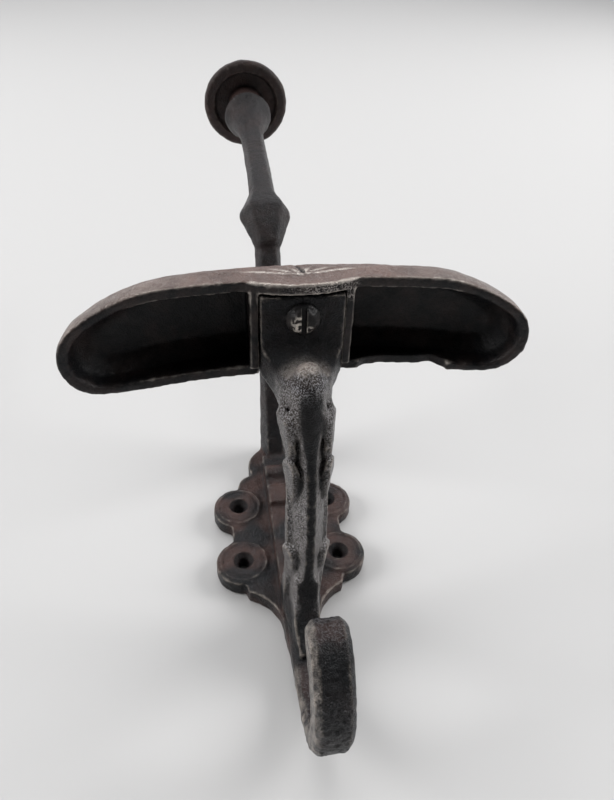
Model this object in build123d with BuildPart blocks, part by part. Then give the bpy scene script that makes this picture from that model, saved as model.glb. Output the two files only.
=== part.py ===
from build123d import *
from math import asin, cos, degrees, hypot, radians, sin, sqrt, tan
import os

os.makedirs("parts", exist_ok=True)

# Cast-iron coat hook in three pieces: the wall casting with its two arms and lower hook,
# the hollow shoulder rest that sits on the middle arm, and the slotted screw that holds
# the rest down from below.  X runs across, Y into the wall, Z up.  The origin is the
# middle of the four screw holes, on the back of the plate, so what stands in front of
# the wall has a negative Y.

# ---- wall plate ----
plate_t = 8.5            # thickness
hole_dx = 45.0           # screw holes, across
hole_dz = 33.5           # screw holes, up
hole_d = 5.2             # screw holes, bore
sink_d = 9.8             # screw holes, countersink
ear_r = 12.6             # round ear about each hole
ear_round = 1.8          # easing of the ears' front edge
body_t = 7.4             # thickness of the plate's body between the ears
groove_r = 9.3           # ring groove on each ear
groove_w = 1.8
groove_deep = 0.9
waist_x = 26.4           # half-width between the upper and lower ears
waist_fillet = 2.6
lobe_r = 15.2            # round lobe at the top, behind the upper arm
lobe_z = 45.5
shoulder_x = 22.0        # small shoulder between the lobe and the ears
shoulder_z = 29.0
cusp_x = 21.3            # pointed cusp under the lower ears
cusp_z = -33.5
leg_x = 7.8              # half-width where the plate runs into the lower hook
leg_z = -50.0

# ---- raised spine between the two arm roots ----
spine_w = 15.0
spine_rise = 4.0         # above the plate
spine_top = 48.0
spine_low = -36.0
bead_r = 4.4             # roll across the spine under the upper arm
bead_z = 34.0
block_z = 17.0           # flat block below the roll
block_h = 13.0
block_rise = 8.0

# ---- upper arm, knop and hat disc ----
root_w = 15.5            # the arm at the plate
root_h = 25.0
root_z = 54.0
arm_w = 13.4             # the arm along its run
arm_h = 12.0
arm_flat = 0.28          # flat underside on each side of the middle, as a share of the width
arm_crest = 0.30         # and the flat top
run_y = -94.0            # where the level run ends and the arm turns up
run_z = 79.0
run_rise = 12.0          # slope of the level run, degrees
knop_y = -127.5
knop_z = 98.5
knop_rise = 62.0
knop_w = 26.4
knop_h = 19.0
knop_len = 17.0          # each half
knop_flat = 1.2          # half-height of the blunt edge round its middle
disc_lean = 9.7          # the stem and disc lean out from upright, degrees
disc_y = -151.8          # middle of the disc's underside
disc_z = 211.8
disc_r = 25.1
disc_t = 5.2
disc_ease = 1.4          # easing of the disc's edges
disc_dome = 3.0
disc_rim_w = 5.8         # flat rim under the disc
disc_recess = 3.0        # recess inside the rim
stem_r = 6.8
stem_len = 78.0          # from the disc down to the foot of the stem
collar_r = 13.8          # mouth of the trumpet under the disc
collar_h = 2.6           # bead round that mouth
collar_drop = 15.6
trumpet_len = 40.0
neck_r = 10.5            # between the trumpet's mouth and the disc

# ---- middle arm and pad ----
flange_w = 15.6          # width of the arm's top flange
flange_t = 5.0
root_top = -31.0         # top of the flange at the plate
dip_y = -24.0            # where the flange has dropped to its level run
dip_z = -40.0
level_y = -66.0          # and where it starts to rise again
level_z = -40.5
bend_back = 17.0         # the bend up to the pad, behind and below the pad
bend_drop = 9.5
keel_w = 7.6             # keel under the flange
keel_flat = 0.2          # half-width of the keel's flat underside, as a share of its width
keel_low = -55.0         # its underside near the plate
pad_w = 28.0
pad_t = 5.0
pad_front = -149.5
pad_len = 31.5
pad_under = -24.0        # height of the pad's underside
post_in = 21.5           # front of the elbow, behind the pad's front
post_ease = 6.5          # hollow between the elbow and the pad
shield_mid = 9.3         # half-width of the elbow where it waists in
shield_mid_drop = 9.5
shield_drop = 19.0       # the elbow is down to the flange's width here
nose_r = 5.6             # round nose of the tongue at the elbow
nose_y = -129.5
nose_z = -38.5
tongue_w = 12.8          # the tongue widens behind its nose, then dies out along the keel
tongue_h = 10.8
tongue_len = 37.0
tongue_sides = 12
bracket_front = -40.0    # the keel starts to curve down into the lower hook's stem
bracket_low = -70.0
leaf_t = 1.5             # thickness of the leaves
leaf_rise = 1.0          # they stand this far off the arm's sides
leaf_turn = 22.0         # and lean in under the arm, degrees
leaf_curl = 6.0          # with their round ends bent outwards, degrees

# ---- lower hook: two circles off centre, so the band swells towards its tip ----
hook_low = -115.2        # lowest point
hook_gap = 5.6           # the band's back stands off the wall
outer_r = 35.4           # circle along the outside
band_t = 10.2            # difference of the two circles' radii
swell_y = 5.0            # inner circle's centre, back and up from the outer one's
swell_z = 1.0
band_w = 13.2
band_bevel = 1.8
tip_swell = 0.5          # the rolled tip's radius, over half the band
tip_turn = 212.0         # where the band ends, in degrees round the circles
back_turn = 342.0        # where the stem's back leaves the outer circle
front_turn = 358.0       # where the stem's front leaves the inner one
stem_front = -15.0       # front of the stem at its top

# ---- shoulder rest ----
rest_half = 77.6         # half the span
seat_gap = 1.0           # pad's front to the rest's front wall
rest_sweep_r = 52.0      # the front edge sweeps back towards the tips
rest_sweep = 33.0        # through this angle
rim_up = 3.5             # rim at the middle, above the pad's underside
rest_height = 18.0       # rim to crown
rest_arch_r = 258.0      # arch of the rim over the span
crown_arch_r = 215.0     # arch of the crown
rest_round = 11.0        # rounding of the crown
crown_flats = 4          # flats that make up that rounding
hollow_bevel = 5.5       # bevel round the roof of the hollow
rest_wall = 3.8
rib_t = 3.2              # ribs either side of the pad
rib_drop = 2.0           # below the rim
pocket_gap = 0.25        # pad to rib
lip_drop = 4.8           # the front rim hangs down at the middle to hide the pad
lip_half = 19.0
chip_near = 21.0         # the piece broken out of the rear rim
chip_far = 52.0
chip_deep = 4.0

# ---- fixing screw ----
screw_d = 6.0
screw_gap = 0.1          # shank to hole, all round
screw_head_d = 11.5
screw_head_h = 3.0
screw_grip = 11.0        # shank length above the pad's underside
screw_in = 8.1           # behind the pad's front
screw_brim = 0.8         # straight edge of the head
slot_w = 1.8
slot_deep = 1.7

# ---- what follows from those sizes ----
pad_back = pad_front + pad_len
rest_front = pad_front - seat_gap - rest_wall
rest_depth = pad_back - rest_front      # the pad ends flush with the rest's rear wall
rest_rim = pad_under + rim_up
screw_y = pad_front + screw_in
post_front = pad_front + post_in
outer_y = -hook_gap - outer_r
outer_z = hook_low + outer_r
inner_y = outer_y + swell_y
inner_z = outer_z + swell_z
inner_r = outer_r - band_t


def square_to(y, z, rise):
    """Plane square to an arm at (y, z); rise is the arm's slope above level, in degrees."""
    return Plane(origin=(0, y, z), x_dir=(1, 0, 0), z_dir=(0, -cos(radians(rise)), sin(radians(rise))))


def faceted(width, height):
    """Six corners of an arm section with a flat underside and bevelled flanks."""
    flat = arm_flat * width
    crest = arm_crest * width
    half = height / 2
    return [(-width / 2, 0), (-flat, -half), (flat, -half), (width / 2, 0), (crest, half), (-crest, half)]


# ================= wall casting =================
hole_spots = [(x, z) for x in (-hole_dx / 2, hole_dx / 2) for z in (-hole_dz / 2, hole_dz / 2)]

# ---- wall plate: a waisted body with a lobe above and an ogee below ----
with BuildPart() as plate:
    with BuildSketch(Plane.XZ) as outline:
        with BuildLine():
            crown = CenterArc((0, lobe_z), lobe_r, 90, -115)
            shoulder = ThreePointArc(
                crown @ 1, (shoulder_x - 2.0, shoulder_z + 6.5), (shoulder_x, shoulder_z)
            )
            flank = Polyline(
                shoulder @ 1, (waist_x, hole_dz / 2), (waist_x, -hole_dz / 2), (cusp_x, cusp_z)
            )
            ogee = ThreePointArc(
                flank @ 1,
                ((cusp_x + leg_x) / 2 - 2.4, (cusp_z + leg_z) / 2 + 1.8),
                (leg_x, leg_z),
            )
            Polyline(ogee @ 1, (leg_x, leg_z - 4), (band_w / 2 - 0.5, leg_z - 17), (0, leg_z - 17))
            mirror(about=Plane.YZ)
        make_face()
        with Locations(*hole_spots):
            Circle(ear_r)
        notches = [v for v in outline.vertices() if abs(abs(v.X) - waist_x) < 0.01 and abs(v.Y) < hole_dz / 2]
        fillet(notches, waist_fillet)
    extrude(amount=body_t)

# ---- ears: round bosses with an eased edge and a ring groove, turned about each hole ----
with BuildPart() as ear:
    with BuildSketch(Plane.XY) as moulding:
        with BuildLine():
            Polyline(
                (0, 0),
                (ear_r, 0),
                (ear_r, ear_round - plate_t),
                (ear_r - ear_round, -plate_t),
                (groove_r + groove_w / 2, -plate_t),
                (groove_r, groove_deep - plate_t),
                (groove_r - groove_w / 2, -plate_t),
                (0, -plate_t),
                (0, 0),
            )
        make_face()
    revolve(axis=Axis.Y)

# ---- raised spine with a roll and a flat block, between the arm roots ----
with BuildPart() as spine:
    with BuildSketch(Plane.YZ):
        with Locations((-(plate_t + spine_rise) / 2, (spine_top + spine_low) / 2)):
            Rectangle(plate_t + spine_rise, spine_top - spine_low)
        with Locations((-(plate_t + block_rise) / 2, block_z)):
            RectangleRounded(plate_t + block_rise, block_h, 1.5)
        with Locations((-plate_t - spine_rise, bead_z)):
            Circle(bead_r)
    extrude(amount=spine_w / 2, both=True)

# ---- upper arm and stem: one faceted bar, out from the plate and up to the disc ----
stem_rise = 90 - disc_lean
foot_y = disc_y + stem_len * sin(radians(disc_lean))
foot_z = disc_z - stem_len * cos(radians(disc_lean))
neck_y = disc_y + trumpet_len * sin(radians(disc_lean))
neck_z = disc_z - trumpet_len * cos(radians(disc_lean))
level_run = 24.0
upper_run = [
    (0.0, root_z, 0, root_w, root_h),
    (-level_run, root_z + 8.0, run_rise, (arm_w + root_w) / 2, (root_h + arm_h) / 2),
    (-2.4 * level_run, root_z + 16.0, run_rise, arm_w, arm_h),
    (run_y, run_z, run_rise + 6, arm_w, arm_h),
    (knop_y + 12.0, knop_z - 10.0, knop_rise - 20, arm_w, arm_h),
    (knop_y, knop_z, knop_rise, arm_w, arm_h),
]
with BuildPart() as upper_arm:
    for y, z, rise, width, height in upper_run:
        with BuildSketch(square_to(y, z, rise)):
            Polygon(*faceted(width, height), align=None)
    loft()

stem_run = [
    (knop_y, knop_z, knop_rise, arm_w, arm_h),
    (foot_y, foot_z, stem_rise, arm_w, arm_h),
    ((foot_y + neck_y) / 2, (foot_z + neck_z) / 2, stem_rise, arm_w, arm_h),
    (neck_y, neck_z, stem_rise, 2 * stem_r, 2 * stem_r),
]
with BuildPart() as stem:
    for y, z, rise, width, height in stem_run:
        with BuildSketch(square_to(y, z, rise)):
            Polygon(*faceted(width, height), align=None)
    loft()

# ---- knop: a lozenge-shaped swelling where the arm turns up ----
with BuildPart() as knop:
    for along, rise, width, height in (
        (-knop_len, knop_rise - 12, arm_w, arm_h),
        (-0.5 * knop_len, knop_rise - 6, 0.45 * arm_w + 0.55 * knop_w, 0.45 * arm_h + 0.55 * knop_h),
        (-knop_flat, knop_rise, knop_w, knop_h),
        (knop_flat, knop_rise, knop_w, knop_h),
        (0.5 * knop_len, knop_rise + 5, 0.6 * arm_w + 0.4 * knop_w, 0.6 * arm_h + 0.4 * knop_h),
        (knop_len, knop_rise + 10, arm_w, arm_h),
    ):
        y = knop_y - along * cos(radians(rise))
        z = knop_z + along * sin(radians(rise))
        with BuildSketch(square_to(y, z, rise)):
            Polygon(*faceted(width, height), align=None)
    loft(ruled=True)

# ---- trumpet and hat disc, turned upright about its own axis and leant over when joined ----
with BuildPart() as disc:
    with BuildSketch(Plane.XZ):
        with BuildLine():
            foot = Line((0, -trumpet_len), (stem_r, -trumpet_len))
            flare = trumpet_len - collar_drop
            swell = collar_r - stem_r
            under = Polyline(
                foot @ 1,
                (stem_r + 0.2 * swell, -collar_drop - 0.56 * flare),
                (stem_r + 0.56 * swell, -collar_drop - 0.18 * flare),
                (collar_r, -collar_drop),
                (collar_r + 0.4, -collar_drop + 0.45 * collar_h),
                (collar_r - 1.0, -collar_drop + collar_h),
                (neck_r, -collar_drop + 1.7 * collar_h),
                (neck_r, disc_recess),
                (disc_r - disc_rim_w - 1.0, disc_recess),
                (disc_r - disc_rim_w, 0),
                (disc_r - disc_ease, 0),
                (disc_r, disc_ease),
                (disc_r, disc_t - disc_ease),
                (disc_r - disc_ease, disc_t),
                (0.5 * disc_r, disc_t + 0.75 * disc_dome),
                (0, disc_t + disc_dome),
            )
            Line(under @ 1, foot @ 0)
        make_face()
    revolve(axis=Axis.Z)
disc_seat = Location((0, disc_y, disc_z), (disc_lean, 0, 0))

# ---- middle arm: a flange that rises and widens into the pad ----
bend_y = pad_back + bend_back
bend_z = pad_under - bend_drop
with BuildPart() as flange:
    with BuildSketch(Plane.YZ):
        with BuildLine():
            level = Spline(
                (0, root_top), (dip_y, dip_z), (level_y, level_z), (bend_y, bend_z),
                tangents=[(-1, -0.5), (-1, 0.62)],
            )
            sweep = ThreePointArc(
                level @ 1,
                (pad_back + 0.3 * bend_back, pad_under - 0.26 * bend_drop),
                (pad_back - 0.6 * pad_t, pad_under + pad_t),
            )
            Polyline(
                sweep @ 1,
                (pad_front, pad_under + pad_t),
                (pad_front, pad_under),
                (post_front - post_ease, pad_under),
            )
            hollow = ThreePointArc(
                (post_front - post_ease, pad_under),
                (post_front - 0.3 * post_ease, pad_under - 0.3 * post_ease),
                (post_front, pad_under - post_ease),
            )
            web = Polyline(hollow @ 1, (post_front, nose_z), (post_front + pad_t, nose_z + 1.0))
            lower = Spline(
                web @ 1,
                (bend_y, bend_z - flange_t),
                (level_y, level_z - flange_t),
                (dip_y, dip_z - 1.4 * flange_t),
                (0, keel_low + 1.6 * flange_t),
                tangents=[(1, -0.2), (1, 0)],
            )
            Line(lower @ 1, level @ 0)
        make_face()
    extrude(amount=pad_w / 2, both=True)
    with BuildSketch(Plane.XY.offset(keel_low)):
        with BuildLine():
            tip = Line((0, pad_front), (pad_w / 2, pad_front))
            cheek = Line(tip @ 1, (pad_w / 2, pad_back - 1.5))
            neck = ThreePointArc(
                cheek @ 1,
                (flange_w / 2 + 0.3 * (pad_w - flange_w) / 2, pad_back + 0.2 * bend_back),
                (flange_w / 2, pad_back + 0.76 * bend_back),
            )
            Polyline(neck @ 1, (flange_w / 2, 0), (0, 0))
            mirror(about=Plane.YZ)
        make_face()
    extrude(amount=pad_under + pad_t - keel_low + 1, mode=Mode.INTERSECT)
    with BuildSketch(Plane.XZ.offset(-pad_front + 1)):
        with BuildLine():
            post = Polyline(
                (0, pad_under + 2 * pad_t),
                (pad_w / 2, pad_under + 2 * pad_t),
                (pad_w / 2, pad_under - 0.5),
            )
            shield = ThreePointArc(
                post @ 1,
                (shield_mid, pad_under - shield_mid_drop),
                (flange_w / 2, pad_under - shield_drop),
            )
            Polyline(shield @ 1, (flange_w / 2, keel_low), (0, keel_low))
            mirror(about=Plane.YZ)
        make_face()
    extrude(amount=pad_front - 1, mode=Mode.INTERSECT)

# ---- keel under the flange ----
keel_run = [
    (-2.0, keel_low, 0, keel_w, 22.0),
    (-30.0, keel_low, 0, keel_w, 15.0),
    (-60.0, keel_low + 0.5, 2, keel_w, 12.0),
    (-86.0, keel_low + 4.0, 10, keel_w, 12.0),
    (-106.0, keel_low + 9.0, 18, keel_w + 0.6, 13.0),
    (post_front + 2.0, nose_z - nose_r, 12, keel_w + 1.6, 14.0),
]
with BuildPart() as keel:
    for y, z, rise, width, height in keel_run:
        with BuildSketch(square_to(y, z, rise)):
            Polygon(
                (-keel_flat * width, 0), (keel_flat * width, 0), (0.7 * width, 0.5 * height),
                (0.88 * width, height), (-0.88 * width, height), (-0.7 * width, 0.5 * height),
                align=None,
            )
    loft()

# ---- tongue: a round nose at the elbow that swells, then dies out along the keel ----
tongue_run = [
    (nose_y - 0.97 * nose_r, nose_z, 0, 0.5 * nose_r, 0.5 * nose_r),
    (nose_y - 0.71 * nose_r, nose_z, 0, 1.42 * nose_r, 1.42 * nose_r),
    (nose_y, nose_z, 4, 2 * nose_r, 2 * nose_r),
    (nose_y + 0.2 * tongue_len, nose_z - 0.05 * tongue_len, 8, tongue_w, tongue_h),
    (nose_y + 0.5 * tongue_len, nose_z - 0.12 * tongue_len, 12, 0.74 * tongue_w, 0.78 * tongue_h),
    (nose_y + 0.76 * tongue_len, nose_z - 0.18 * tongue_len, 14, 0.48 * tongue_w, 0.55 * tongue_h),
    (nose_y + tongue_len, nose_z - 0.23 * tongue_len, 14, 0.22 * tongue_w, 0.37 * tongue_h),
]
with BuildPart() as tongue:
    for y, z, rise, width, height in tongue_run:
        with BuildSketch(square_to(y, z, rise)):
            turns = [radians(360 * side / tongue_sides) for side in range(tongue_sides)]
            Polygon(*[(width / 2 * cos(turn), height / 2 * sin(turn)) for turn in turns], align=None)
    loft(ruled=True)

# ---- lower hook: a J-shaped band with bevelled rims and a thick rolled tip ----
def wheel(y, z, radius, rim):
    """Disc across the band about (y, z); a positive rim bevels its edges in, a negative one flares them."""
    over = 0 if rim > 0 else 1
    side = band_w / 2 + over
    with BuildPart() as disc_blank:
        with BuildSketch(Plane(origin=(0, y, z), x_dir=(1, 0, 0), z_dir=(0, -1, 0))):
            Polygon(
                (-side, 0), (side, 0), (side, radius - rim + over), (band_w / 2 - abs(rim), radius),
                (abs(rim) - band_w / 2, radius), (-side, radius - rim + over),
                align=None,
            )
        revolve(axis=Axis((0, y, z), (1, 0, 0)))
    return disc_blank.part


def round_hook(turn, distance):
    """Point at a distance from the outer circle's centre, turn degrees round it, as (y, z)."""
    return (outer_y + distance * cos(radians(turn)), outer_z + distance * sin(radians(turn)))


inward = swell_y * cos(radians(tip_turn)) + swell_z * sin(radians(tip_turn))
inner_reach = inward + sqrt(inner_r**2 - swell_y**2 - swell_z**2 + inward**2)
tip_r = (outer_r - inner_reach) / 2 + tip_swell
with BuildPart() as lower_hook:
    add(wheel(outer_y, outer_z, outer_r, band_bevel))
    add(wheel(inner_y, inner_z, inner_r, -band_bevel), mode=Mode.SUBTRACT)
    with BuildSketch(Plane.YZ):
        Polygon(
            (outer_y, outer_z),
            *[
                round_hook(turn, 2 * outer_r)
                for turn in (tip_turn, (tip_turn + front_turn) / 2, front_turn - 6)
            ],
            align=None,
        )
    extrude(amount=band_w, both=True, mode=Mode.INTERSECT)
    add(wheel(*round_hook(tip_turn, outer_r - tip_r), tip_r, band_bevel))

with BuildPart() as hook_stem:
    with BuildSketch(Plane.YZ):
        with BuildLine():
            heel = CenterArc((inner_y, inner_z), inner_r, back_turn, front_turn - back_turn)
            shank = TangentArc(heel @ 1, (stem_front, leg_z + 4), tangent=heel % 1)
            back_foot = round_hook(back_turn, outer_r)
            Polyline(
                shank @ 1,
                (-plate_t, leg_z + 12),
                (0, leg_z + 12),
                (0, back_foot[1] - back_foot[0] / tan(radians(360 - back_turn))),
                back_foot,
                heel @ 0,
            )
        make_face()
    extrude(amount=band_w / 2, both=True)
    rims = hook_stem.edges().filter_by(Axis.X, reverse=True).filter_by(Axis.Y, reverse=True)
    chamfer(rims.filter_by_position(Axis.Z, outer_z - 5, leg_z), band_bevel)

# ---- bracket: the keel curves down into the stem of the lower hook ----
with BuildPart() as bracket:
    with BuildSketch(Plane.YZ):
        with BuildLine():
            sweep = ThreePointArc(
                (bracket_front, keel_low + 0.4),
                (0.55 * bracket_front + 0.45 * stem_front, 0.75 * keel_low + 0.25 * bracket_low),
                (stem_front + 0.5, bracket_low),
            )
            Polyline(
                sweep @ 1, (stem_front + 6, bracket_low), (stem_front + 6, keel_low + 8),
                (bracket_front, keel_low + 8), sweep @ 0,
            )
        make_face()
    extrude(amount=0.7 * keel_w, both=True)
    with BuildSketch(Plane.XZ):
        with BuildLine():
            Polyline(
                (0, keel_low + 12), (0.7 * keel_w, keel_low + 12), (0.7 * keel_w, keel_low - 6),
                (0.5 * keel_w, bracket_low), (0, bracket_low),
            )
            mirror(about=Plane.YZ)
        make_face()
    extrude(amount=-bracket_front, mode=Mode.INTERSECT)


# ---- acanthus leaves lying along both sides of the middle arm ----
def leaf(x, y, z, length, width, slope):
    """Leaf on the right side, middle at (x, y, z); round towards the front, pointed behind."""
    side = Plane(origin=(x, y, z), x_dir=(0, 1, 0), z_dir=(1, 0, 0))
    with BuildPart() as blade:
        with BuildSketch(side.rotated((slope, leaf_turn, leaf_curl))):
            with BuildLine():
                head = ThreePointArc(
                    (-0.2 * length, -width / 2), (-0.5 * length, 0), (-0.2 * length, width / 2)
                )
                ThreePointArc(head @ 1, (0.2 * length, 0.32 * width), (length / 2, 0))
                ThreePointArc(head @ 0, (0.2 * length, -0.32 * width), (length / 2, 0))
            make_face()
        extrude(amount=leaf_t + leaf_rise, taper=22)
    return blade.part


leaf_seat = flange_w / 2 - leaf_t
leaves = [
    leaf(leaf_seat, -106.0, -41.0, 24.0, 9.5, -14),
    leaf(leaf_seat - 1.1, -87.0, -44.5, 22.0, 9.0, -10),
    leaf(leaf_seat - 1.1, -45.0, -47.0, 22.0, 9.0, 0),
    leaf(leaf_seat - 2.0, -17.0, -51.0, 18.0, 8.0, -66),
]

# ---- everything above is one pour of iron ----
with BuildPart() as hook_casting:
    add(plate.part)
    with Locations(*[Location((x, 0, z)) for x, z in hole_spots]):
        add(ear.part)
    for limb in (spine, upper_arm, stem, knop, flange, keel, tongue, bracket, lower_hook, hook_stem):
        add(limb.part)
    with Locations(disc_seat):
        add(disc.part)
    for blade in leaves:
        add(blade)
        add(blade.mirror(Plane.YZ))
    split(bisect_by=Plane.XZ, keep=Keep.TOP)
    for x, z in hole_spots:
        with Locations(Plane(origin=(x, -plate_t, z), x_dir=(1, 0, 0), z_dir=(0, -1, 0))):
            CounterSinkHole(hole_d / 2, sink_d / 2, depth=plate_t + 1)
    with Locations(Plane(origin=(0, screw_y, pad_under), x_dir=(1, 0, 0), z_dir=(0, 0, -1))):
        Hole(screw_d / 2 + screw_gap, depth=pad_t)
hook_casting.part.label = "hook_casting"
export_step(hook_casting.part, "parts/hook_casting.step")


# ================= shoulder rest =================
rest_middle = rest_front + rest_depth / 2


def rest_plan(inset):
    """Outline of the rest seen from above: straight sides, swept front corners, round ends."""
    depth = rest_depth - 2 * inset
    corner = rest_sweep_r - inset
    end_r = (depth - corner * (1 - cos(radians(rest_sweep)))) / (1 + cos(radians(rest_sweep)))
    end_x = rest_half - inset - end_r
    straight = end_x + (end_r - corner) * sin(radians(rest_sweep))
    with BuildSketch() as plan:
        with BuildLine():
            side = Line((0, -depth / 2), (straight, -depth / 2))
            swept = JernArc(side @ 1, side % 1, corner, rest_sweep)
            end = JernArc(swept @ 1, swept % 1, end_r, 180 - rest_sweep)
            Line(end @ 1, (0, depth / 2))
            mirror(about=Plane.YZ)
        make_face()
    return plan.sketch


def arch(height, radius):
    """Arc over the whole span, with its top at the given height."""
    reach = degrees(asin((rest_half + 4) / radius))
    return CenterArc((0, height - radius), radius, 90 - reach, 2 * reach)


def rest_side(crown, rim):
    """Arched band seen from the front, between two heights at the middle of the span."""
    with BuildSketch() as side:
        with BuildLine():
            top = arch(crown, crown_arch_r)
            under = arch(rim, rest_arch_r)
            Line(top @ 0, under @ 0)
            Line(top @ 1, under @ 1)
        make_face()
    return side.sketch


def rest_dome(inset, rim):
    """Arched block of the rest, inset all round; rim is the height of its open side at the middle."""
    plan = rest_plan(inset)
    side = rest_side(rest_rim + rest_height - inset, rim)
    with BuildPart() as body:
        with BuildSketch(Plane(origin=(0, rest_middle, rim - 40))):
            add(plan)
        extrude(amount=80)
        with BuildSketch(Plane.XZ.offset(-rest_front + 5)):
            add(side)
        extrude(amount=-rest_depth - 10, mode=Mode.INTERSECT)
    return body.part


# the crown is filed round in flats, each one cut from the last flat to the top
with BuildPart() as outer_dome:
    add(rest_dome(0, rest_rim))
    cut = foot = 0
    foot_drop = rest_round
    for step in range(1, crown_flats + 1):
        turn = radians(90 * step / crown_flats)
        next_foot = rest_round * (1 - cos(turn))
        next_drop = rest_round * (1 - sin(turn))
        next_cut = foot + foot_drop * (next_foot - foot) / (foot_drop - next_drop)
        roof = outer_dome.faces().sort_by(Axis.Z)[-1]
        chamfer(roof.edges(), next_cut - cut, hypot(foot - cut, foot_drop), reference=roof)
        cut, foot, foot_drop = next_cut, next_foot, next_drop
with BuildPart() as hollow:
    add(rest_dome(rest_wall, rest_rim - 10))
    chamfer(hollow.faces().sort_by(Axis.Z)[-1].edges(), hollow_bevel)
pad_seat = pad_under + pad_t
rib_x = pad_w / 2 + pocket_gap + rib_t / 2
inner_depth = rest_depth - 2 * rest_wall
with BuildPart() as shoulder_rest:
    add(outer_dome.part)
    add(hollow.part, mode=Mode.SUBTRACT)
    # the front rim hangs down at the middle
    with BuildSketch(Plane.XZ.offset(-rest_front)):
        with BuildLine():
            hang = ThreePointArc(
                (-lip_half, rest_rim - 0.7), (0, rest_rim - lip_drop), (lip_half, rest_rim - 0.7)
            )
            Polyline(hang @ 1, (lip_half, rest_rim + 4), (-lip_half, rest_rim + 4), hang @ 0)
        make_face()
    extrude(amount=-rest_wall)
    # solid block over the pad, with a rib down each side
    with BuildSketch(Plane(origin=(0, rest_middle, pad_seat))):
        Rectangle(pad_w + 2 * pocket_gap + rib_t, inner_depth + 1)
    extrude(amount=rest_rim + rest_height - rest_wall - pad_seat + 1)
    for x in (-rib_x, rib_x):
        with BuildSketch(Plane(origin=(x, rest_middle, rest_rim - rib_drop))):
            Rectangle(rib_t, inner_depth + 1)
        extrude(amount=rest_height - rest_wall + rib_drop - 0.5)
    # the pad enters through the rear wall
    with BuildSketch(Plane(origin=(0, rest_front + rest_depth, pad_seat))):
        Rectangle(pad_w + 2 * pocket_gap, 2 * rest_wall + 1)
    extrude(amount=-20, mode=Mode.SUBTRACT)
    # tapped hole for the screw
    with Locations(Plane(origin=(0, screw_y, pad_seat), x_dir=(1, 0, 0), z_dir=(0, 0, -1))):
        Hole(screw_d / 2 + screw_gap, depth=screw_grip - pad_t + 1)
    # a length of the rear rim is broken away
    with BuildSketch(Plane.XZ.offset(-rest_front - rest_depth + rest_wall + 1.5)):
        with BuildLine():
            bottom = rest_rim - 20
            Polyline(
                (chip_near, bottom),
                (chip_near, rest_rim - 0.5),
                (chip_near + 3.0, rest_rim + 0.30 * chip_deep),
                (chip_near + 9.0, rest_rim + 0.42 * chip_deep),
                (chip_near + 17.0, rest_rim + 0.16 * chip_deep),
                (chip_near + 22.0, rest_rim + 0.10 * chip_deep),
                (chip_far - 4.0, rest_rim + 0.18 * chip_deep),
                (chip_far, rest_rim - 0.95 * chip_deep),
                (chip_far + 2.0, bottom),
                (chip_near, bottom),
            )
        make_face()
    extrude(amount=-rest_wall - 3, mode=Mode.SUBTRACT)
shoulder_rest.part.label = "shoulder_rest"
export_step(shoulder_rest.part, "parts/shoulder_rest.step")

# ================= fixing screw =================
with BuildPart() as fixing_screw:
    with Locations(Plane(origin=(0, screw_y, pad_under), x_dir=(1, 0, 0), z_dir=(0, 0, 1))):
        Cylinder(screw_d / 2, screw_grip, align=(Align.CENTER, Align.CENTER, Align.MIN))
    with BuildSketch(Plane(origin=(0, screw_y, pad_under), x_dir=(1, 0, 0), z_dir=(0, 1, 0))) as head:
        with BuildLine():
            brim = Line((0, 0), (screw_head_d / 2, 0))
            Polyline(
                brim @ 1,
                (screw_head_d / 2, screw_brim),
                (0.32 * screw_head_d, screw_head_h),
                (0, screw_head_h),
                brim @ 0,
            )
        make_face()
    revolve(axis=Axis((0, screw_y, pad_under), (0, 0, 1)))
    with Locations((0, screw_y, pad_under - screw_head_h)):
        Box(slot_w, screw_head_d + 2, 2 * slot_deep, mode=Mode.SUBTRACT)
fixing_screw.part.label = "fixing_screw"
export_step(fixing_screw.part, "parts/fixing_screw.step")
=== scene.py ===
import bmesh
import bpy
import numpy as np
from mathutils import Matrix, Vector, noise


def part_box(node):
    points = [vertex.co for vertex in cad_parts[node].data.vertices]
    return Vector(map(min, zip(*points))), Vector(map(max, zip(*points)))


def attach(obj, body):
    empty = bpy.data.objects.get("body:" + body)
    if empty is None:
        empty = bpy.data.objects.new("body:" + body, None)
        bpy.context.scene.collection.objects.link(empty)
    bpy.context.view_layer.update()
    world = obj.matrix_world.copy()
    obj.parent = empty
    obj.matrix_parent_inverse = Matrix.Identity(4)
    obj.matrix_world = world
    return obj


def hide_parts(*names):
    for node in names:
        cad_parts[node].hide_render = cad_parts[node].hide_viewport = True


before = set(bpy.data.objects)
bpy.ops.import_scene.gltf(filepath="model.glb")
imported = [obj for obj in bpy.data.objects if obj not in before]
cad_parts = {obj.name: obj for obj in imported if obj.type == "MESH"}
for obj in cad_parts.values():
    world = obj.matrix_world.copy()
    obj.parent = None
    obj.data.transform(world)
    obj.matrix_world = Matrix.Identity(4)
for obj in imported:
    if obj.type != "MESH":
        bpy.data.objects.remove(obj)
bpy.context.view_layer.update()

# Looks of a cast-iron hat and coat hook.  Metres, in the frame of the solids: X across,
# Y into the wall, Z up, with the plate's back at Y = 0.  The skins are worked in millimetres.
MM = 0.001
WALL = "root"
MOST_TRIANGLES = 195000
scene = bpy.context.scene

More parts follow.
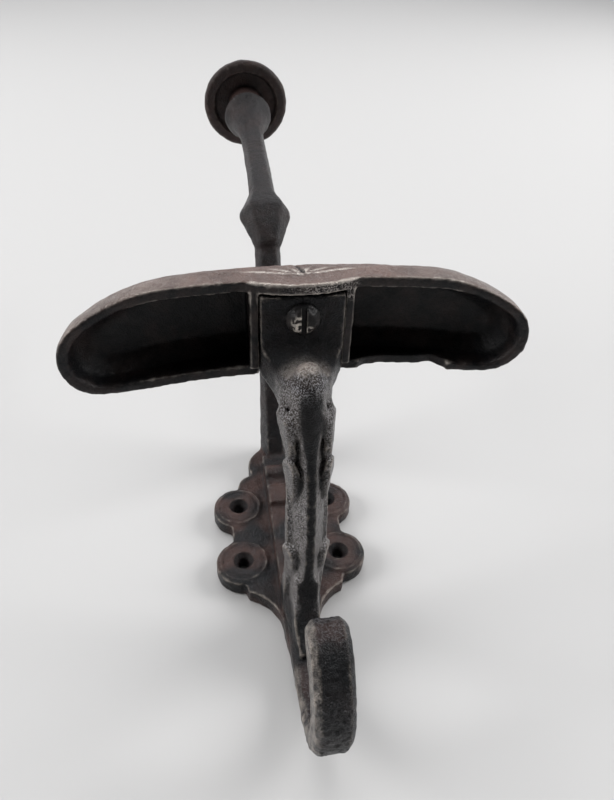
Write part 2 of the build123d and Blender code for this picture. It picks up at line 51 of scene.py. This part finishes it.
# Places on the part, in millimetres.
HOLE_X, HOLE_Z = 22.5, 16.75                                # screw holes, from the middle
NOSE = (0, -131, -40)                                       # tip of the elbow
FLECK = (-1.5, -132, -37)                                   # spot of rust on it
LEAF_ROOTS = [(-7.6, -117.5, -41), (7.4, -117.5, -41)]      # where the first pair of leaves begins
HEEL = (0, -36, -57)                                        # under the middle arm, by the plate
ARM_BOW = 0.9                                               # middle arm, bowed to the right
REST_SAG = 1.1                                              # left of the rest, lower than the right
RIM_Z, RIM_R = -20.5, 258                                   # open rim of the rest: top and arch
REST_MIDDLE, REST_SWEEP = -136, 7                           # middle of its depth, and its ends' set-back
VEIN_FOOT, VEIN_RISE = 2, 9                                 # carved veins, above the rim
BURRS = [((-1.6, -141.5, -27), 3.2), ((-1.8, -139.2, -27), 2.4), ((1.9, -138.6, -27), 1.8)]


# ---------------------------------------------------------------- mesh helpers
def object_from(mesh, name):
    """New object in the scene around a mesh whose place is already in its vertices."""
    piece = bpy.data.objects.new(name, mesh)
    scene.collection.objects.link(piece)
    return piece


def applied(piece):
    """Turns a piece's modifiers into plain mesh."""
    graph = bpy.context.evaluated_depsgraph_get()
    mesh = bpy.data.meshes.new_from_object(piece.evaluated_get(graph))
    piece.modifiers.clear()
    old = piece.data
    piece.data = mesh
    bpy.data.meshes.remove(old)
    return piece


def recast(node_name, name, voxel):
    """Welded copy of a solid's mesh, remade as one even skin that can be worked like wax."""
    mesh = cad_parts[node_name].data.copy()
    mesh.materials.clear()
    shell = bmesh.new()
    shell.from_mesh(mesh)
    bmesh.ops.remove_doubles(shell, verts=shell.verts, dist=0.002 * MM)
    shell.to_mesh(mesh)
    shell.free()
    piece = object_from(mesh, name)
    skin = piece.modifiers.new("recast", "REMESH")
    skin.mode = "VOXEL"
    skin.voxel_size = voxel
    return applied(piece)


def thinned(piece):
    """Collapses flat stretches until the piece is within its share of triangles."""
    piece.data.calc_loop_triangles()
    now = len(piece.data.loop_triangles)
    if now > MOST_TRIANGLES:
        thin = piece.modifiers.new("thin", "DECIMATE")
        thin.ratio = MOST_TRIANGLES / now
        applied(piece)


def ramp(low, high, x):
    """Smooth step from 0 at low to 1 at high."""
    t = np.clip((x - low) / (high - low), 0, 1)
    return t * t * (3 - 2 * t)


def until(x, full, end):
    """1 up to full, falling to 0 at end."""
    return 1 - ramp(full, end, x)


def span(x, start, full, fade, end):
    """1 from full to fade, falling to 0 at start and at end."""
    return ramp(start, full, x) * until(x, fade, end)


def near(points, centre, reach):
    """1 at a spot, falling to 0 at this distance from it; all in millimetres."""
    return until(np.linalg.norm(points - np.array(centre), axis=1), 0.35 * reach, reach)


def lumps(points, size, seed):
    """Soft noise, about -0.5 to 0.5, at each point; size is the distance between its bumps."""
    shift = Vector((seed * 7.1, seed * 3.7, seed * 5.3))
    return np.array([noise.noise(Vector(p) / size + shift) for p in points])


class Wax:
    """A piece's skin as rows of x, y, z in millimetres, to be eased, pushed and painted."""

    def __init__(self, piece):
        self.mesh = piece.data
        flat = np.empty(len(self.mesh.vertices) * 3)
        self.mesh.vertices.foreach_get("co", flat)
        self.at = flat.reshape(-1, 3) / MM
        ends = np.empty(len(self.mesh.edges) * 2, int)
        self.mesh.edges.foreach_get("vertices", ends)
        self.a, self.b = ends.reshape(-1, 2).T
        self.count = np.maximum(np.bincount(ends, minlength=len(self.at)), 1)

    def mean(self, values):
        """Average of a value over each vertex's neighbours."""
        if values.ndim > 1:
            return np.stack([self.mean(column) for column in values.T], axis=1)
        size = len(self.at)
        total = np.bincount(self.a, values[self.b], size)
        total = total + np.bincount(self.b, values[self.a], size)
        return total / self.count

    def ease(self, passes, weight=1.0):
        """Rounds edges and fills grooves where the weight is."""
        share = 0.6 * np.broadcast_to(weight, len(self.at))[:, None]
        for _ in range(passes):
            self.at = self.at + share * (self.mean(self.at) - self.at)

    def normals(self):
        """Unit normals of the skin as it is now."""
        self.mesh.vertices.foreach_set("co", (self.at * MM).ravel())
        self.mesh.update()
        flat = np.empty(len(self.at) * 3)
        self.mesh.vertices.foreach_get("normal", flat)
        return flat.reshape(-1, 3)

    def push(self, height):
        """Moves the skin out along its normals by this many millimetres."""
        self.at = self.at + self.normals() * height[:, None]

    def standing_out(self, reach):
        """How far each vertex stands out of the skin around it: above 0 on edges, below in corners."""
        soft, normals = self.at, self.normals()
        for _ in range(reach):
            soft = self.mean(soft)
        return np.einsum("ij,ij->i", self.at - soft, normals)

    def paint(self, name, values):
        """Stores a value for the material to read."""
        layer = self.mesh.attributes.new(name, "FLOAT", "POINT")
        layer.data.foreach_set("value", np.clip(values, 0, 1).astype(np.float32))

    def done(self, node_name):
        """Writes the skin back, kept inside the solid's own box."""
        low, high = (np.array(corner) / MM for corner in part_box(node_name))
        self.at = np.clip(self.at, low, high)
        self.normals()


def finish_piece(piece, node_name, material):
    """Holds a piece inside its solid's box, and gives it smooth shading, its material and its place."""
    mesh = piece.data
    low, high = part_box(node_name)
    for vertex in mesh.vertices:
        vertex.co = [min(max(value, least), most) for value, least, most in zip(vertex.co, low, high)]
    mesh.materials.clear()
    mesh.materials.append(material)
    mesh.polygons.foreach_set("use_smooth", np.ones(len(mesh.polygons), bool))
    mesh.polygons.foreach_set("material_index", np.zeros(len(mesh.polygons), int))
    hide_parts(node_name)
    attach(piece, WALL)
    return piece


# ---------------------------------------------------------------- material helpers
def linear(code):
    """Linear RGBA of an sRGB hex colour."""
    parts = [int(code[i:i + 2], 16) / 255 for i in (1, 3, 5)]
    return tuple(c / 12.92 if c <= 0.04045 else ((c + 0.055) / 1.055) ** 2.4 for c in parts) + (1.0,)


def node(tree, kind, inputs=None, **settings):
    """Adds a node with its settings; an input takes a value, or a socket to link from."""
    made = tree.nodes.new(kind)
    for key, value in settings.items():
        setattr(made, key, value)
    for key, value in (inputs or {}).items():
        if isinstance(value, bpy.types.NodeSocket):
            tree.links.new(value, made.inputs[key])
        else:
            made.inputs[key].default_value = value
    return made


def mixed(tree, share, first, second):
    """First colour, going over to the second as the share goes from 0 to 1."""
    inputs = {"Factor": share, "A": first, "B": second}
    return node(tree, "ShaderNodeMix", inputs, data_type="RGBA").outputs["Result"]


def step(tree, value, low, high, bottom=0.0, top=1.0):
    """Value taken from low..high to bottom..top."""
    inputs = {"Value": value, "From Min": low, "From Max": high, "To Min": bottom, "To Max": top}
    return node(tree, "ShaderNodeMapRange", inputs).outputs["Result"]


def maths(tree, operation, first, second):
    """Two values joined by an operation, kept between 0 and 1."""
    inputs = {0: first, 1: second}
    return node(tree, "ShaderNodeMath", inputs, operation=operation, use_clamp=True).outputs[0]


def old_iron(name, black, brown, rust_and_lit_top, speck_and_sheen, bare_and_highlight,
             sand_mm=0.55, sand_rise=0.4, lump_rise=0.6, gloss=(0.15, 0.5), shine=0.7):
    """Grey iron cast in sand and blacked: a near-black skin with a satin gloss, granular from the sand,
    rusting to brown in patches, and scuffed to the metal in broken lines along its edges. Painted light
    rides on these layers: painted shade turns it near black, and painted highlights, sheen and a paler
    brown on lit tops come through the scuffed, granular and rust layers."""
    material = bpy.data.materials.new(name)
    material.use_nodes = True
    tree = material.node_tree
    tree.nodes.clear()
    shader = node(tree, "ShaderNodeBsdfPrincipled")
    node(tree, "ShaderNodeOutputMaterial", {"Surface": shader.outputs["BSDF"]})
    at = node(tree, "ShaderNodeTexCoord").outputs["Object"]

    def cloud(size_mm, detail, roughness=0.6):
        """Noise whose lumps are this many millimetres apart."""
        inputs = {"Vector": at, "Scale": 1 / (size_mm * MM), "Detail": detail, "Roughness": roughness}
        return node(tree, "ShaderNodeTexNoise", inputs).outputs["Fac"]

    def painted(attribute):
        """Value stored on the skin."""
        return node(tree, "ShaderNodeAttribute", attribute_name=attribute).outputs["Fac"]

    patches, flecks, sand = cloud(11, 4.0), cloud(2.2, 3.0, 0.7), cloud(sand_mm, 2.0, 0.75)
    # Rust brown in patches and from the stored value; on the rest's crown the stored value also paints
    # light, paler on the lit top.
    rust = maths(tree, "ADD", step(tree, patches, 0.44, 0.66), painted("rust_and_lit_top"))
    skin = mixed(tree, rust, linear(black), linear(brown))
    ruddy = maths(tree, "MULTIPLY", painted("rust_and_lit_top"), step(tree, patches, 0.3, 0.7, 0.25, 0.8))
    skin = mixed(tree, ruddy, skin, linear(rust_and_lit_top))
    # Pale granular specks: sand grain, and painted sheen where the stored value is high on lit sides.
    sparse = step(tree, flecks, 0.3, 0.6, 0.4, 1.0)
    grains = maths(tree, "MULTIPLY", step(tree, sand, 0.49, 0.59), sparse)
    skin = mixed(tree, maths(tree, "MULTIPLY", grains, painted("grain_and_sheen")), skin, linear(speck_and_sheen))
    # Painted shade: the stored shade value turns the colour towards near black in creases, recesses and
    # faces turned from the light.
    shade_dark = maths(tree, "MULTIPLY", painted("painted_shade"), 0.85)
    skin = mixed(tree, shade_dark, skin, linear("#06070a"))
    # Pale metal in broken lines: scuffed edges, and painted highlights and sheen where the stored value
    # carries them.
    broken, pitted = step(tree, flecks, 0.36, 0.62, 0.45, 1.0), step(tree, sand, 0.35, 0.6, 0.5, 1.0)
    bare_and_lit = maths(tree, "MULTIPLY", painted("wear_and_highlights"), maths(tree, "MULTIPLY", broken, pitted))
    skin = mixed(tree, bare_and_lit, skin, linear(bare_and_highlight))

    dull = step(tree, painted("painted_shade"), 0.0, 1.0, 0.0, 0.1)
    rough = {0: step(tree, sand, 0.35, 0.65, gloss[1], gloss[0]), 1: dull}
    rough = node(tree, "ShaderNodeMath", rough, operation="ADD")
    coarse = {"Height": flecks, "Strength": 1.0, "Distance": lump_rise * MM}
    coarse = node(tree, "ShaderNodeBump", coarse)
    fine = {"Height": sand, "Distance": sand_rise * MM, "Normal": coarse.outputs["Normal"]}
    fine = node(tree, "ShaderNodeBump", fine)

    tree.links.new(skin, shader.inputs["Base Color"])
    tree.links.new(rough.outputs[0], shader.inputs["Roughness"])
    tree.links.new(maths(tree, "MULTIPLY", bare_and_lit, shine), shader.inputs["Metallic"])
    tree.links.new(fine.outputs["Normal"], shader.inputs["Normal"])
    shader.inputs["Specular IOR Level"].default_value = 0.22
    return material


# ---------------------------------------------------------------- the pieces
def wall_casting():
    """Plate, arms and lower hook: one sand casting, its edges softened by sand, blacking and use."""
    piece = recast("hook_casting", "wall_casting", 0.6 * MM)
    wax = Wax(piece)
    x, y, z = wax.at.T
    upper_arm = span(z, 48, 62, 196, 202)
    elbow = span(z, -70, -60, -31, -26) * until(y, -112, -104)
    tongue = elbow * until(np.abs(x), 9.5, 12) * ramp(-62, -56, z) * until(y, -117, -113)
    spine = span(z, -40, -34, 44, 50) * until(np.abs(x), 6.5, 8.5) * until(y, -10, -8)
    lower_hook = until(z, -76, -70)
    under_arm = (1 - lower_hook) * until(z, -34, -30)
    wax.ease(2, 1 - 0.7 * lower_hook)
    wax.ease(14, upper_arm)
    wax.ease(10, elbow)
    wax.ease(70, tongue)
    for root in LEAF_ROOTS:
        wax.ease(35, near(wax.at, root, 4.5))
    wax.ease(35, near(wax.at, HEEL, 14))
    wax.ease(25, under_arm * ramp(0.7, 1.5, -wax.standing_out(9)))
    wax.ease(26, spine)
    x, y, z = wax.at.T
    wax.at[:, 0] += ARM_BOW * span(z, -70, -62, -34, -30) * span(y, -118, -95, -45, -20)
    wax.push(0.2 * lumps(wax.at, 9, 1) + 0.22 * lumps(wax.at, 3.2, 2))

    edge, corner = wax.standing_out(3), wax.standing_out(9)
    x, y, z = wax.at.T
    across, inward, upward = wax.normals().T
    wax.push(lower_hook * until(np.abs(across), 0.1, 0.4) * 0.55 * lumps(wax.at, 1.8, 3))

    middle_arm = span(z, -62, -56, -34, -30) * span(y, -128, -122, -30, -20)
    belly = middle_arm * ramp(0.45, 1.0, -upward) * until(np.abs(x - ARM_BOW), 2.5, 7)
    sideways = np.abs(across) + 0.5 * ramp(2, 6, np.abs(x))
    # The middle arm's sides: they get painted sheen, paler and more granular, as if lit by the floor and
    # windows.
    flank = middle_arm * until(belly, 0.2, 0.8) * ramp(0.05, 0.4, sideways)
    nose = near(wax.at, NOSE, 14)
    # Painted highlight on the nose's faces turned up towards the lamps.
    lit_nose_top = nose * ramp(0.2, 0.8, -inward)
    rubbed_edge = ramp(0.07, 0.2, edge) * (1 - 0.7 * lower_hook * ramp(0, 0.5, across))
    rubbed_edge *= 1 - 0.6 * ramp(60, 80, z)
    hook_side = lower_hook * ramp(0.5, 0.85, -across) * ramp(-0.6, 0.3, lumps(wax.at, 2.5, 7))
    # Pale metal: scuffed edges and the lower hook's left side, plus the painted sheen on the arm's sides
    # and the painted highlight on the nose.
    worn_and_lit = 0.65 * rubbed_edge + 0.65 * hook_side + 0.2 * flank + 0.75 * lit_nose_top
    wax.paint("wear_and_highlights", worn_and_lit)

    # Painted shade, near black: in creases and corners, in the screw countersinks, along the middle arm's
    # underside and across the middle of the lower hook's face; taken off again at the leaf roots.
    sinks = until(np.hypot(np.abs(x) - HOLE_X, np.abs(z) - HOLE_Z), 4.4, 5.0)
    hook_middle = lower_hook * span(z, -112, -107, -103, -97) * ramp(0.3, 0.7, -inward)
    roots = sum(near(wax.at, root, 6) for root in LEAF_ROOTS)
    creases = ramp(0.05, 0.5, -corner)
    wax.paint("painted_shade", creases + 0.85 * belly + sinks + 0.9 * hook_middle - roots)
    # Pale granular specks: sand grain all over, and painted sheen on the middle arm's sides.
    wax.paint("grain_and_sheen", 0.08 + 0.8 * flank + 0.8 * nose + 0.1 * lower_hook * (1 - hook_middle))

    disc = ramp(200, 206, z)
    plate = ramp(-12, -9, y) * ramp(-70, -60, z)
    rusty = (plate + spine * ramp(-32, -28, y)) * ramp(-0.3, 0.3, lumps(wax.at, 12, 9))
    hook_tip = lower_hook * ramp(0.8, 1, -inward)
    rust_and_lit_top = near(wax.at, FLECK, 5) + 0.15 * nose + 0.45 * disc + 0.12 * upper_arm
    wax.paint("rust_and_lit_top", rust_and_lit_top + 0.3 * hook_tip + 0.75 * rusty)
    wax.done("hook_casting")
    thinned(piece)
    iron = old_iron("sand_cast_iron_blacked", black="#06070a", brown="#1a1211", rust_and_lit_top="#553c35",
                    speck_and_sheen="#a7a6aa", bare_and_highlight="#b8aea4")
    return finish_piece(piece, "hook_casting", iron)


def leaf_veins(x, up):
    """Three carved veins either side of the middle, each rising steeply and then levelling off."""
    veins = 0
    for reach in (4, 11, 28):
        fall = np.exp(-np.abs(x) / reach)
        slope = VEIN_RISE * fall / reach
        away = np.abs(up - VEIN_FOOT - VEIN_RISE * (1 - fall)) / np.hypot(1, slope)
        veins = veins + until(away, 0.3, 1.0) * until(np.abs(x), 0.5 * reach, 1.6 * reach)
    return veins


def rest_casting():
    """The hollow shoulder rest: a second casting, rust brown on top with painted light making its upward
    faces paler, and painted shade near black inside.
    """
    piece = recast("shoulder_rest", "rest_casting", 0.5 * MM)
    wax = Wax(piece)
    ends = ramp(25, 60, np.abs(wax.at[:, 0]))
    wax.ease(3)
    wax.ease(14, ramp(0.85, 1, ends))
    wax.push(0.25 * lumps(wax.at, 8, 4) + 0.15 * lumps(wax.at, 2.8, 5))
    x, y, z = wax.at.T
    rim = RIM_Z - (RIM_R - np.sqrt(RIM_R ** 2 - x ** 2))
    wax.at[:, 2] -= REST_SAG * ramp(0, 12, z - rim) * ramp(30, 62, -x)

    # a parting line that leans left as it rises, with veins on both sides
    up = z - rim
    across, inward, upward = wax.normals().T
    front_face = span(up, 1.5, 3.5, 10, 13) * until(y, -146, -140) * ramp(0.1, 0.5, upward - inward)
    parting = until(np.abs(x - 1.5 + 0.25 * (up - 1.5)), 0.2, 0.9)
    veins = front_face * leaf_veins(x, up)
    wax.push(0.35 * veins - 0.7 * front_face * parting)

    edge, corner = wax.standing_out(3), wax.standing_out(9)
    x, y, z = wax.at.T
    up = z - rim
    across, inward, upward = wax.normals().T
    outward = across * np.sign(x)
    depth = y - REST_MIDDLE - REST_SWEEP * ramp(40, 77, np.abs(x))
    roof, front, rear = (ramp(0.3, 0.7, turned) for turned in (-upward, inward, -inward))
    walls = front * (depth < 0) + rear * (depth > 0)
    walls = walls + ramp(0.3, 0.7, -outward) + ramp(0.3, 0.7, outward) * (np.abs(x) < 24)
    hollow = ramp(0.8, 2.5, up) * np.clip(roof + walls, 0, 1)
    crown = np.clip(ramp(0.1, 0.7, upward) + rear * (depth < 0), 0, 1) * (1 - hollow)
    lip = until(np.abs(x), 15, 20) * until(y, -148, -146) * until(up, 5, 8)

    rubbed_edge = 0.75 * ramp(0.07, 0.2, edge) * (1 - 0.9 * front_face)
    rubbed_edge = rubbed_edge + lip * ramp(0.03, 0.12, edge)
    # Pale metal on scuffed edges, the lip and the crown's ends, and a painted highlight along the carved
    # veins; none inside the hollow.
    wax.paint("wear_and_highlights", (rubbed_edge + 0.25 * ends * crown + 0.08 * veins) * (1 - hollow))
    # Painted shade: near black in corners and over the inside of the hollow.
    wax.paint("painted_shade", ramp(0.05, 0.4, -corner) + 0.45 * hollow)
    # Rust brown on the crown, and painted light: the faces turned up towards the lamps are made paler and
    # browner, less so at the ends.
    wax.paint("rust_and_lit_top", (0.95 - 0.4 * ends) * crown)
    grainy_lip = lip * ramp(0.1, 0.6, -upward - inward) * (1 - crown) * ramp(-12, 10, x)
    wax.paint("grain_and_sheen", 0.06 + 0.15 * crown + grainy_lip)
    wax.done("shoulder_rest")
    thinned(piece)
    iron = old_iron("sand_cast_iron_browned", black="#07080c", brown="#302725", rust_and_lit_top="#7f675f",
                    speck_and_sheen="#b4aca7", bare_and_highlight="#d2c9c0", sand_rise=0.2, lump_rise=0.25)
    return finish_piece(piece, "shoulder_rest", iron)


def slotted_screw():
    """Turned steel screw, its slot burred by a screwdriver."""
    piece = recast("fixing_screw", "slotted_screw", 0.16 * MM)
    wax = Wax(piece)
    wax.ease(4)
    wax.push(0.12 * lumps(wax.at, 1.6, 6))
    edge, corner = wax.standing_out(4), wax.standing_out(9)
    off_middle = np.abs(wax.at[:, 0])
    burr = sum(near(wax.at, spot, reach) for spot, reach in BURRS) * ramp(0.8, 1.1, off_middle)
    slot = until(off_middle, 0.9, 1.5) * (1 - burr)
    torn = burr * ramp(-0.15, 0.15, lumps(wax.at, 1.1, 8))
    wax.paint("wear_and_highlights", 0.4 * ramp(0.03, 0.09, edge) + 1.5 * torn)
    # Painted shade: dark in corners and down the slot.
    wax.paint("painted_shade", ramp(0.02, 0.15, -corner) + 0.8 * slot)
    wax.paint("rust_and_lit_top", np.zeros(len(edge)))
    wax.paint("grain_and_sheen", np.full(len(edge), 0.2))
    wax.done("fixing_screw")
    steel = old_iron("old_turned_steel", black="#100f10", brown="#2a2422", rust_and_lit_top="#5a4038",
                     speck_and_sheen="#6a6664", bare_and_highlight="#fff6ea", sand_mm=0.4, sand_rise=0.04, shine=0.1)
    return finish_piece(piece, "fixing_screw", steel)


# ---------------------------------------------------------------- stage, light and camera
def table_top():
    """Pale table behind the plate, which only shows from the front."""
    half = 9.0
    plate_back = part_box("hook_casting")[1].y
    height = plate_back + 0.6 * MM
    mesh = bpy.data.meshes.new("table_top")
    corners = [(-half, height, -half), (half, height, -half), (half, height, half), (-half, height, half)]
    mesh.from_pydata(corners, [], [(0, 1, 2, 3)])
    floor = object_from(mesh, "table_top")
    material = bpy.data.materials.new("matt_pale_paper")
    material.use_nodes = True
    tree = material.node_tree
    tree.nodes.clear()
    paper = node(tree, "ShaderNodeBsdfDiffuse", {"Color": linear("#c6c5c4")})
    clear = node(tree, "ShaderNodeBsdfTransparent")
    behind = node(tree, "ShaderNodeNewGeometry").outputs["Backfacing"]
    either = node(tree, "ShaderNodeMixShader", {0: behind, 1: paper.outputs[0], 2: clear.outputs[0]})
    node(tree, "ShaderNodeOutputMaterial", {"Surface": either.outputs[0]})
    mesh.materials.append(material)


def area_light(name, place, aim, size, power):
    """Soft square light."""
    lamp = bpy.data.lights.new(name, "AREA")
    lamp.shape = "SQUARE"
    lamp.size = size
    lamp.energy = power
    made = bpy.data.objects.new(name, lamp)
    scene.collection.objects.link(made)
    made.location = place
    made.rotation_euler = (Vector(aim) - Vector(place)).to_track_quat("-Z", "Y").to_euler()


def room():
    """Bright room, with a large dark patch on the side where the object's lower end points."""
    world = bpy.data.worlds.new("room")
    scene.world = world
    world.use_nodes = True
    tree = world.node_tree
    tree.nodes.clear()
    ray = node(tree, "ShaderNodeTexCoord").outputs["Generated"]
    toward = Vector((-0.10, -0.22, -0.97)).normalized()
    facing = node(tree, "ShaderNodeVectorMath", {0: ray, 1: toward}, operation="DOT_PRODUCT")
    dark = step(tree, facing.outputs["Value"], -0.1, 0.6)
    shade = mixed(tree, dark, linear("#d4d6da"), linear("#050506"))
    back = node(tree, "ShaderNodeBackground", {"Color": shade, "Strength": 1.0})
    node(tree, "ShaderNodeOutputWorld", {"Surface": back.outputs[0]})


def camera():
    """Looks up the object from its lower end."""
    place = Vector((-29.25, -244.4, -194.1)) * MM
    forward = Vector((0.14416, 0.62115, 0.77032))
    right = Vector((0.98723, -0.03692, -0.15499))
    lens = bpy.data.cameras.new("camera")
    lens.sensor_width = 36
    lens.lens = 27.44
    lens.clip_start, lens.clip_end = 0.01, 20
    made = bpy.data.objects.new("camera", lens)
    scene.collection.objects.link(made)
    turn = Matrix((right, right.cross(forward), -forward)).transposed().to_4x4()
    made.matrix_world = Matrix.Translation(place) @ turn
    scene.camera = made


wall_casting()
rest_casting()
slotted_screw()
table_top()
room()
area_light("ceiling_lamp", (-0.1, -2.6, 0.7), (0, 0, 0.3), 1.8, 22)
area_light("window_left", (-2.4, -1.3, 0.3), (0, -0.08, 0.1), 1.5, 62)
area_light("window_right", (2.4, -1.3, 0.3), (0, -0.08, 0.1), 1.5, 62)
area_light("far_lamp", (0.5, -2.5, 3.6), (0.4, 0, 3.4), 2.0, 26)
camera()
scene.view_settings.view_transform = "Standard"
